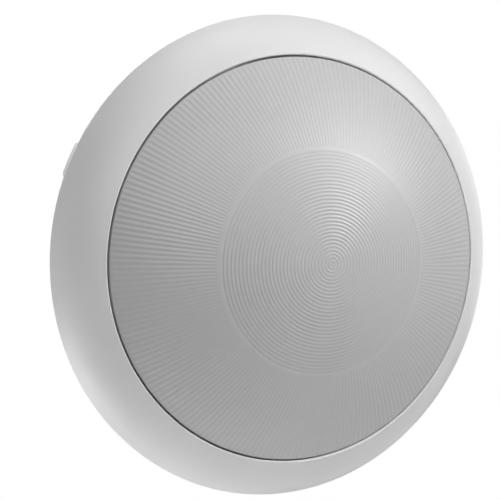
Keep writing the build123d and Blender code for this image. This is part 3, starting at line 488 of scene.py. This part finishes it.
# Painted shade: each flute and ring valley is darkened by its pressed depth.
milk = blend(tree, pressed, milk, grey(VALLEY_SHADE_TONE * MILK))
tree.links.new(blend(tree, film.outputs["Mask"], milk, DUST_COLOUR), shader.inputs["Base Color"])
tree.links.new(calc(tree, "MULTIPLY_ADD", skin.outputs["Speckle"], 0.06, LENS_ROUGHNESS - 0.03),
               shader.inputs["Roughness"])
emboss(tree, shader, skin.outputs["Height"], 0.00001)
shader.inputs["Transmission Weight"].default_value = 0.10
print("lens plastic done")

# %% [markdown]
# ## Running a Geometry Nodes tree
# The pieces that repeat a shape, or whose shape follows a rule, are made by Geometry Nodes. The tree is put on a
# holder object as a modifier, its inputs are set by their identifiers, and the evaluated result becomes a plain
# mesh. The holder is then thrown away, so only the plain mesh is left to ride on the frame.

# %% Helpers for Geometry Nodes
def shape_tree(name, sizes):
    """New Geometry Nodes tree with a geometry input, float sizes and a material; returns its ends too."""
    tree = bpy.data.node_groups.new(name, "GeometryNodeTree")
    tree.interface.new_socket("Geometry", in_out="INPUT", socket_type="NodeSocketGeometry")
    for label in sizes:
        tree.interface.new_socket(label, in_out="INPUT", socket_type="NodeSocketFloat")
    tree.interface.new_socket("Material", in_out="INPUT", socket_type="NodeSocketMaterial")
    tree.interface.new_socket("Geometry", in_out="OUTPUT", socket_type="NodeSocketGeometry")
    return tree, tree.nodes.new("NodeGroupInput"), tree.nodes.new("NodeGroupOutput")


def close_tree(tree, geometry, given, result):
    """Ends a tree: instances made real and the material."""
    real = add(tree, "GeometryNodeRealizeInstances", {0: geometry})
    painted = add(tree, "GeometryNodeSetMaterial",
                  {"Geometry": real.outputs[0], "Material": given.outputs["Material"]})
    tree.links.new(painted.outputs[0], result.inputs[0])


def run_tree(name, tree, slot, sizes, source=None):
    """Runs a tree on a mesh with the given sizes and keeps the result as a plain mesh object."""
    holder = bpy.data.objects.new(name + ".holder", source or bpy.data.meshes.new(name))
    scene.collection.objects.link(holder)
    modifier = holder.modifiers.new("shape", "NODES")
    modifier.node_group = tree
    values = {"Material": bpy.data.materials[slot], **sizes}
    for item in tree.interface.items_tree:
        if item.in_out == "INPUT" and item.name in values:
            modifier[item.identifier] = values[item.name]
    mesh = bpy.data.meshes.new_from_object(holder.evaluated_get(bpy.context.evaluated_depsgraph_get()))
    bpy.data.objects.remove(holder)
    piece = bpy.data.objects.new(name, mesh)
    scene.collection.objects.link(piece)
    print(name, len(mesh.polygons), "faces")
    return piece


# %% [markdown]
# ## Turning a blank
# Round parts start as a profile that is turned about the object's axis. Spinning an edge in Blender gives every
# ring the same number of points. The lens needs few points in its smooth middle and many across its flutes, so
# this helper joins rings of different counts: where the count grows, each coarse edge opens into a fan.

# %% Turned blanks
def ring_points(radius, height, count):
    """Points of one ring in the row frame: the axis runs along Y, and height is the distance from the wall."""
    angle = np.arange(count) * (2 * math.pi / count)
    return np.stack([radius * np.cos(angle), np.full(count, -height), radius * np.sin(angle)], axis=1)


def fan(coarse, fine, count, share):
    """Triangles from a coarse ring to a finer one outside it."""
    faces = []
    for k in range(count):
        after = coarse + (k + 1) % count
        run = [fine + (k * share + j) % (count * share) for j in range(share + 1)]
        half = share // 2
        faces += [(coarse + k, run[j], run[j + 1]) for j in range(half)]
        faces.append((coarse + k, run[half], after))
        faces += [(after, run[j], run[j + 1]) for j in range(half, share)]
    return faces


def join_rings(a, count_a, b, count_b):
    """Faces from one ring to the next; each count is 1 for a pole, or one divides the other."""
    if count_a == 1:
        return [(a, b + k, b + (k + 1) % count_b) for k in range(count_b)]
    if count_b == 1:
        return [(a + k, b, a + (k + 1) % count_a) for k in range(count_a)]
    if count_a < count_b:
        return fan(a, b, count_a, count_b // count_a)
    if count_a > count_b:
        return [face[::-1] for face in fan(b, a, count_b, count_a // count_b)]
    return [(a + k, b + k, b + (k + 1) % count_b, a + (k + 1) % count_a) for k in range(count_a)]


def turned(name, rows, ring=False):
    """Closed mesh from rows of (radius, height, count, mark). A count of 1 closes an end in a pole; a ring's last
    row joins its first."""
    points, marks, faces, start = [], [], [], 0
    for row, following in zip(rows, rows[1:] + [None]):
        radius, height, count, mark = row
        points.append(ring_points(radius, height, count))
        marks += [mark] * count
        if following:
            faces += join_rings(start, count, start + count, following[2])
        start += count
    if ring:
        faces += join_rings(start - rows[-1][2], rows[-1][2], 0, rows[0][2])
    mesh = bpy.data.meshes.new(name)
    mesh.from_pydata(np.concatenate(points).tolist(), [], faces)
    mesh.attributes.new("optic", "FLOAT", "POINT").data.foreach_set("value", marks)
    return mesh


print("blanks can be turned")

# %% [markdown]
# ## The lens blank
# The lens is a shallow dome, a cap cut from a large ball, with a straight edge and a flange that the bezel holds
# down. Its sizes come from the frame: the box of the CAD lens gives the top of the dome, the flange's radius and
# its underside. The blank is smooth. It only brings enough rings and points for the pattern that comes next.

# %% Lens blank
lens_low, lens_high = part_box("lens")
FLANGE_R, FLANGE_Z, APEX_Z = lens_high.x, -lens_high.y, -lens_low.y
LENS_WALL, FLANGE_T, FLANGE_W = 0.0024, 0.0016, 0.0026
LENS_R = FLANGE_R - FLANGE_W
LIP_Z = FLANGE_Z + FLANGE_T
SEAM_Z = 0.0213
DOME_H = APEX_Z - SEAM_Z
DOME_BALL = (LENS_R**2 + DOME_H**2) / (2 * DOME_H)
DOME_CENTRE = APEX_Z - DOME_BALL
DISC_R = 0.0396
RING_PITCH, RINGS = 0.00124, 31
FLUTES = 226
RUN_IN = 0.0003
POINTS_PER_RING, POINTS_PER_FLUTE, FLUTE_ROWS, INNER_ROWS = 6, 8, 14, 10


def dome(radius, ball=DOME_BALL):
    """Height of the dome over the wall at a radius."""
    return DOME_CENTRE + math.sqrt(ball**2 - radius**2)


ring_radii = [k * RING_PITCH / POINTS_PER_RING for k in range(1, RINGS * POINTS_PER_RING + 1)]
rim_radii = list(np.linspace(ring_radii[-1], DISC_R, 5)[1:])
flute_radii = [DISC_R + RUN_IN, *np.linspace(DISC_R, LENS_R, FLUTE_ROWS)[1:-1], LENS_R - RUN_IN]
inner_r = LENS_R - LENS_WALL
lens_rows = [(0.0, APEX_Z, 1, 1.0)]
lens_rows += [(r, dome(r), FLUTES, 1.0) for r in ring_radii + rim_radii]
lens_rows += [(r, dome(r), FLUTES * POINTS_PER_FLUTE, 1.0) for r in flute_radii]
lens_rows += [
    (LENS_R, SEAM_Z, FLUTES, 0.0),
    (LENS_R, LIP_Z, FLUTES, 0.0),
    (FLANGE_R, LIP_Z, FLUTES, 0.0),
    (FLANGE_R, FLANGE_Z, FLUTES, 0.0),
    (inner_r, FLANGE_Z, FLUTES, 0.0),
]
inner_ball = DOME_BALL - LENS_WALL
lens_rows += [(inner_r * k / INNER_ROWS, dome(inner_r * k / INNER_ROWS, inner_ball), FLUTES, 0.0)
              for k in range(INNER_ROWS, 0, -1)]
lens_rows.append((0.0, APEX_Z - LENS_WALL, 1, 0.0))
lens_blank = turned("lens_blank", lens_rows)
print("dome radius", round(DOME_BALL * 1000, 1), "mm;", len(lens_blank.polygons), "faces in the blank")

# %% [markdown]
# ## Pressing the optics
# A Fresnel lens has its power in small grooves. Here the middle disc has rings round the axis, and 226 flutes run
# from the disc to the edge like the spokes of a wheel. Both follow a rule, so a Geometry Nodes tree presses them:
# it works out how deep each point lies from its radius and its angle, moves the point towards the ball's centre by
# that depth, and stores the depth for the material's painted valley shade. The sizes are inputs, so another lens
# needs no new tree.

# %% Tree: press the optics
PRESSED_DEPTH = 0.00011
OPTIC_SIZES = {
    "Disc Radius": DISC_R,
    "Edge Radius": LENS_R,
    "Ring Pitch": RING_PITCH,
    "Ring Depth": PRESSED_DEPTH,
    "Ringed Radius": RINGS * RING_PITCH,
    "Flutes": float(FLUTES),
    "Flute Depth": PRESSED_DEPTH,
    "Run In": RUN_IN,
    "Ball Centre": -DOME_CENTRE,
}


def press_optics():
    """Tree that presses rings and flutes into a blank and stores their depth."""
    tree, given, result = shape_tree("press_optics", OPTIC_SIZES)
    size = {name: given.outputs[name] for name in OPTIC_SIZES}
    place = tree.nodes.new("GeometryNodeInputPosition").outputs[0]
    axes = add(tree, "ShaderNodeSeparateXYZ", {0: place})
    radius = calc(tree, "SQRT", calc(tree, "MULTIPLY_ADD", axes.outputs[0], axes.outputs[0],
                                     calc(tree, "MULTIPLY", axes.outputs[2], axes.outputs[2])))
    angle = calc(tree, "ARCTAN2", axes.outputs[2], axes.outputs[0])
    flute_wave = calc(tree, "COSINE", calc(tree, "MULTIPLY", angle, size["Flutes"]))
    ring_turn = calc(tree, "MULTIPLY", calc(tree, "DIVIDE", radius, size["Ring Pitch"]), 2 * math.pi)
    ring_wave = calc(tree, "COSINE", ring_turn)
    start = ramp(tree, radius, size["Disc Radius"],
                 calc(tree, "ADD", size["Disc Radius"], size["Run In"]))
    end = ramp(tree, radius, size["Edge Radius"],
               calc(tree, "SUBTRACT", size["Edge Radius"], size["Run In"]))
    reach = calc(tree, "DIVIDE", radius, size["Edge Radius"])
    fluted = calc(tree, "MULTIPLY", calc(tree, "MULTIPLY", start, end), reach)
    ringed = calc(tree, "LESS_THAN", radius, size["Ringed Radius"])
    flute_share, ring_share = [calc(tree, "MULTIPLY_ADD", wave, -0.5, 0.5) for wave in (flute_wave, ring_wave)]
    flute = calc(tree, "MULTIPLY", flute_share, fluted)
    ring = calc(tree, "MULTIPLY", ring_share, ringed)
    ring_depth = calc(tree, "MULTIPLY", ring, size["Ring Depth"])
    depth = calc(tree, "MULTIPLY_ADD", flute, size["Flute Depth"], ring_depth)
    optic = add(tree, "GeometryNodeInputNamedAttribute", {0: "optic"}, data_type="FLOAT").outputs[0]
    depth = calc(tree, "MULTIPLY", depth, optic)
    centre = add(tree, "ShaderNodeCombineXYZ", {1: size["Ball Centre"]})
    inwards = add(tree, "ShaderNodeVectorMath", {0: centre.outputs[0], 1: place}, operation="SUBTRACT")
    inwards = add(tree, "ShaderNodeVectorMath", {0: inwards.outputs[0]}, operation="NORMALIZE")
    shift = add(tree, "ShaderNodeVectorMath", {0: inwards.outputs[0], "Scale": depth}, operation="SCALE")
    stored = add(tree, "GeometryNodeStoreNamedAttribute",
                 {"Geometry": given.outputs["Geometry"], "Name": "pressed",
                  "Value": calc(tree, "MULTIPLY", calc(tree, "MAXIMUM", flute, ring), optic)},
                 data_type="FLOAT", domain="POINT")
    moved = add(tree, "GeometryNodeSetPosition", {"Geometry": stored.outputs[0], "Offset": shift.outputs[0]})
    smooth = add(tree, "GeometryNodeSetShadeSmooth", {"Geometry": moved.outputs[0]})
    close_tree(tree, smooth.outputs[0], given, result)
    return tree


lens = run_tree("pressed_lens", press_optics(), "lens_plastic", OPTIC_SIZES, lens_blank)
lens.data.set_sharp_from_angle(angle=math.radians(50))
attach(lens, "head")
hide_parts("lens")
triangles = sum(len(p.vertices) - 2 for p in lens.data.polygons)
print("lens of", triangles, "triangles")

# %% [markdown]
# ## Wound wire
# The release latch is pushed back by a coil spring, and the inductor carries a winding. Both are a wire that
# follows a helix. A helix can be drawn point by point, but Geometry Nodes has a spiral curve and sweeps a circle
# along it, so one tree with the number of turns, the radius and the wire size as inputs makes both. Each is laid
# in the place that the frame gives for it.

# %% Tree: wound wire
WIRE_SIZES = ("Turns", "Coil Radius", "Length", "Wire Radius")
POINTS_PER_TURN, WIRE_SIDES = 32, 8


def wound_wire():
    """Tree that sweeps a round wire along a helix and adds the source mesh, if there is one."""
    tree, given, result = shape_tree("wound_wire", WIRE_SIZES)
    size = {name: given.outputs[name] for name in WIRE_SIZES}
    helix = add(tree, "GeometryNodeCurveSpiral",
                {"Resolution": POINTS_PER_TURN, "Rotations": size["Turns"], "Start Radius": size["Coil Radius"],
                 "End Radius": size["Coil Radius"], "Height": size["Length"]})
    section = add(tree, "GeometryNodeCurvePrimitiveCircle",
                  {"Resolution": WIRE_SIDES, "Radius": size["Wire Radius"]})
    swept = add(tree, "GeometryNodeCurveToMesh",
                {"Curve": helix.outputs[0], "Profile Curve": section.outputs[0], "Fill Caps": True})
    smooth = add(tree, "GeometryNodeSetShadeSmooth", {"Geometry": swept.outputs[0]})
    whole = add(tree, "GeometryNodeJoinGeometry", {0: smooth.outputs[0]})
    tree.links.new(given.outputs["Geometry"], whole.inputs[0])
    close_tree(tree, whole.outputs[0], given, result)
    return tree


def lay(piece, start, direction, made_along=(0, 0, 1)):
    """Turns a piece from the direction it was made in to another, and moves its foot to a point, within its mesh."""
    turn = Vector(made_along).rotation_difference(Vector(direction)).to_matrix().to_4x4()
    turn.translation = start
    piece.data.transform(turn)
    return piece


WOUND = wound_wire()
print("tree", WOUND.name, "with", len(WOUND.nodes), "nodes")

# %% [markdown]
# ## The latch spring
# The frame holds the spring as the sleeve that its coils fill. The sleeve's middle and the direction of the
# latch's joint give the helix its place. When the latch is pressed the real spring gets shorter towards its fixed
# end; the helix here keeps its full length.

# %% Latch spring
press = next(j for j in frame["joints"] if j["name"] == "latch_press")
inwards = Vector(press["axis"]).normalized()
sleeve_low, sleeve_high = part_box("latch_spring")
SPRING_L, SPRING_R, SPRING_WIRE, SPRING_TURNS = 0.010, 0.0018, 0.0005, 8.0
spring_end = (sleeve_low + sleeve_high) / 2 + inwards * SPRING_L / 2
spring = run_tree("latch_coil", WOUND, "spring_steel", {
    "Turns": SPRING_TURNS, "Coil Radius": SPRING_R - SPRING_WIRE / 2,
    "Length": SPRING_L - SPRING_WIRE, "Wire Radius": SPRING_WIRE / 2})
lay(spring, spring_end - inwards * SPRING_WIRE / 2, -inwards)
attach(spring, "base")
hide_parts("latch_spring")
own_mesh(spring)

# %% [markdown]
# ## The inductor's winding
# A winding fills the space between the two flanges of the ferrite bobbin. Only its outer layer is ever seen, so a
# plain sleeve stands for the layers below, and the same helix tree lays one layer of wire over it.

# %% Inductor winding
coil_low, coil_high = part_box("inductor_coil")
coil_mid = (coil_low + coil_high) / 2
coil_r, coil_l = (coil_high.x - coil_low.x) / 2, coil_high.y - coil_low.y
CORE_R, WIRE_R, AROUND = 0.003, 0.00022, 48
TURN_PITCH = 2.1 * WIRE_R             # a little over the wire's own width
sleeve_r = coil_r - 1.5 * WIRE_R
sleeve = turned("winding_sleeve", [
    (CORE_R, 0.0, AROUND, 0.0), (CORE_R, coil_l, AROUND, 0.0),
    (sleeve_r, coil_l, AROUND, 0.0), (sleeve_r, 0.0, AROUND, 0.0)][::-1], ring=True)
sleeve.transform(Matrix.Rotation(math.radians(-90), 4, "X"))
winding = run_tree("winding", WOUND, "copper_winding", {
    "Turns": (coil_l - 2 * WIRE_R) / TURN_PITCH, "Coil Radius": coil_r - WIRE_R,
    "Length": coil_l - 2 * WIRE_R, "Wire Radius": WIRE_R}, sleeve)
lay(winding, (coil_mid.x, coil_high.y - WIRE_R, coil_mid.z), (0, -1, 0))
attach(winding, "head")
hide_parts("inductor_coil")

# %% [markdown]
# ## The capacitor cans
# Three cans lie side by side under the board. A can is drawn from aluminium, rolled in near its leads to hold the
# rubber plug, and dressed in a plain sleeve. One can is turned from its profile, and a small tree copies it
# along a line and makes the copies real.

# %% Capacitor cans
cans_low, cans_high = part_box("storage_capacitors")
can_r, can_l = (cans_high.y - cans_low.y) / 2, cans_high.x - cans_low.x
CANS, ROLL, EDGE, SIDES = 3, 0.00035, 0.0003, 40
can = turned("can", [
    (0.0, can_l, 1, 0.0), (can_r - 2.5 * EDGE, can_l, SIDES, 0.0), (can_r - EDGE / 2, can_l - EDGE / 2, SIDES, 0.0),
    (can_r, can_l - 2 * EDGE, SIDES, 0.0), (can_r, 9 * EDGE, SIDES, 0.0), (can_r - ROLL, 7 * EDGE, SIDES, 0.0),
    (can_r - ROLL, 5 * EDGE, SIDES, 0.0), (can_r, 3 * EDGE, SIDES, 0.0), (can_r, EDGE, SIDES, 0.0),
    (can_r - EDGE, 0.0, SIDES, 0.0), (0.0, 0.0, 1, 0.0)])


def row_of_copies():
    """Tree that repeats a piece along a line."""
    tree, given, result = shape_tree("row_of_copies", ("Count", "Pitch"))
    step = add(tree, "ShaderNodeCombineXYZ", {2: given.outputs["Pitch"]})
    line = add(tree, "GeometryNodeMeshLine", {"Count": given.outputs["Count"], "Offset": step.outputs[0]})
    copies = add(tree, "GeometryNodeInstanceOnPoints",
                 {"Points": line.outputs[0], "Instance": given.outputs["Geometry"]})
    close_tree(tree, copies.outputs[0], given, result)
    return tree


cans_mid = (cans_low + cans_high) / 2
cans = run_tree("capacitor_cans", row_of_copies(), "capacitor_sleeve", {
    "Count": float(CANS), "Pitch": (cans_high.z - cans_low.z - 2 * can_r) / (CANS - 1)}, can)
lay(cans, (cans_low.x, cans_mid.y, cans_low.z + can_r), (1, 0, 0), made_along=(0, -1, 0))
cans.data.shade_smooth()
cans.data.set_sharp_from_angle(angle=math.radians(35))
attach(cans, "head")
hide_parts("storage_capacitors")

# %% [markdown]
# ## The stage
# Soft, even light suits a white part. A Light Path node shows the camera a white surround, while a much weaker one
# fills the shadows, so that the lamps can give the part its form. The floor lies well below, as under a wall
# device.

# %% Surround and floor
scene.view_settings.view_transform = "Standard"
world = bpy.data.worlds.new("surround")
scene.world = world
world.use_nodes = True
tree = world.node_tree
tree.nodes.clear()
SURROUND = 0.04
seen = add(tree, "ShaderNodeBackground", {"Color": (1, 1, 1, 1), "Strength": 1.0})
fill = add(tree, "ShaderNodeBackground", {"Color": (1, 1, 1, 1), "Strength": SURROUND})
path = tree.nodes.new("ShaderNodeLightPath")
either = add(tree, "ShaderNodeMixShader",
             {0: path.outputs["Is Camera Ray"], 1: fill.outputs[0], 2: seen.outputs[0]})
add(tree, "ShaderNodeOutputWorld", {"Surface": either.outputs[0]})
FLOOR_HALF, FLOOR_Z = 0.6, -0.9
corners = [(x * FLOOR_HALF, y * FLOOR_HALF, FLOOR_Z) for x, y in ((-1, -1), (1, -1), (1, 1), (-1, 1))]
floor_mesh = bpy.data.meshes.new("floor")
floor_mesh.from_pydata(corners, [], [(0, 1, 2, 3)])
floor = bpy.data.objects.new("floor", floor_mesh)
scene.collection.objects.link(floor)
floor_material = bpy.data.materials.new("pale_floor")
floor_material.use_nodes = True
floor_shader = floor_material.node_tree.nodes["Principled BSDF"]
floor_shader.inputs["Base Color"].default_value = grey(0.85)
floor_shader.inputs["Roughness"].default_value = 0.8
floor_mesh.materials.append(floor_material)
print("floor", 2 * FLOOR_HALF, "m wide at", FLOOR_Z, "m")

# %% [markdown]
# ## The lamps
# The key comes from the upper right and is small, so it draws the broad highlight on the dome. Larger, weaker
# lamps round it give the ring its slow change of tone, and one behind shows the back. A sun lamp would light every
# side facing it alike, while an area lamp falls off with distance and softens with its size. The last lamp hangs
# over the floor, and the camera doesn't see it.

# %% Lamps
def lamp(name, azimuth, elevation, size, power, distance=1.2):
    """Square area lamp that faces the object from a direction."""
    a, e = math.radians(azimuth), math.radians(elevation)
    out = Vector((math.sin(a) * math.cos(e), -math.cos(a) * math.cos(e), math.sin(e)))
    light = bpy.data.lights.new(name, "AREA")
    light.shape = "SQUARE"
    light.size = size
    light.energy = power
    item = bpy.data.objects.new(name, light)
    item.location = out * distance
    item.rotation_mode = "QUATERNION"
    item.rotation_quaternion = (-out).to_track_quat("-Z", "Y")
    scene.collection.objects.link(item)
    return item


LAMPS = (
    ("key", 45, 22, 0.25, 6.0),
    ("key_high", 35, 40, 0.25, 1.6),
    ("key_wrap", 55, 30, 0.25, 1.7),
    ("front", 10, 25, 0.6, 1.9),
    ("front_left", -30, 25, 0.6, 3.4),
    ("rim_left", -110, -40, 0.6, 7.6),
    ("rim_left_high", -110, 50, 0.6, 0.8),
    ("rim_left_level", -110, 0, 0.6, 0.5),
    ("rim_right", 120, 0, 0.6, 1.6),
    ("rim_right_low", 120, -40, 0.6, 1.2),
    ("top", 0, 88, 0.6, 3.2),
    ("back", 180, 30, 0.8, 9.0),
)
for name, azimuth, elevation, size, power in LAMPS:
    lamp(name, azimuth, elevation, size, power)
floor_lamp = lamp("over_floor", 0, -90, 1.2, 6.5, distance=0.35)
floor_lamp.rotation_quaternion = (1, 0, 0, 0)
floor_lamp.visible_camera = False
print(len(LAMPS) + 1, "lamps lit")
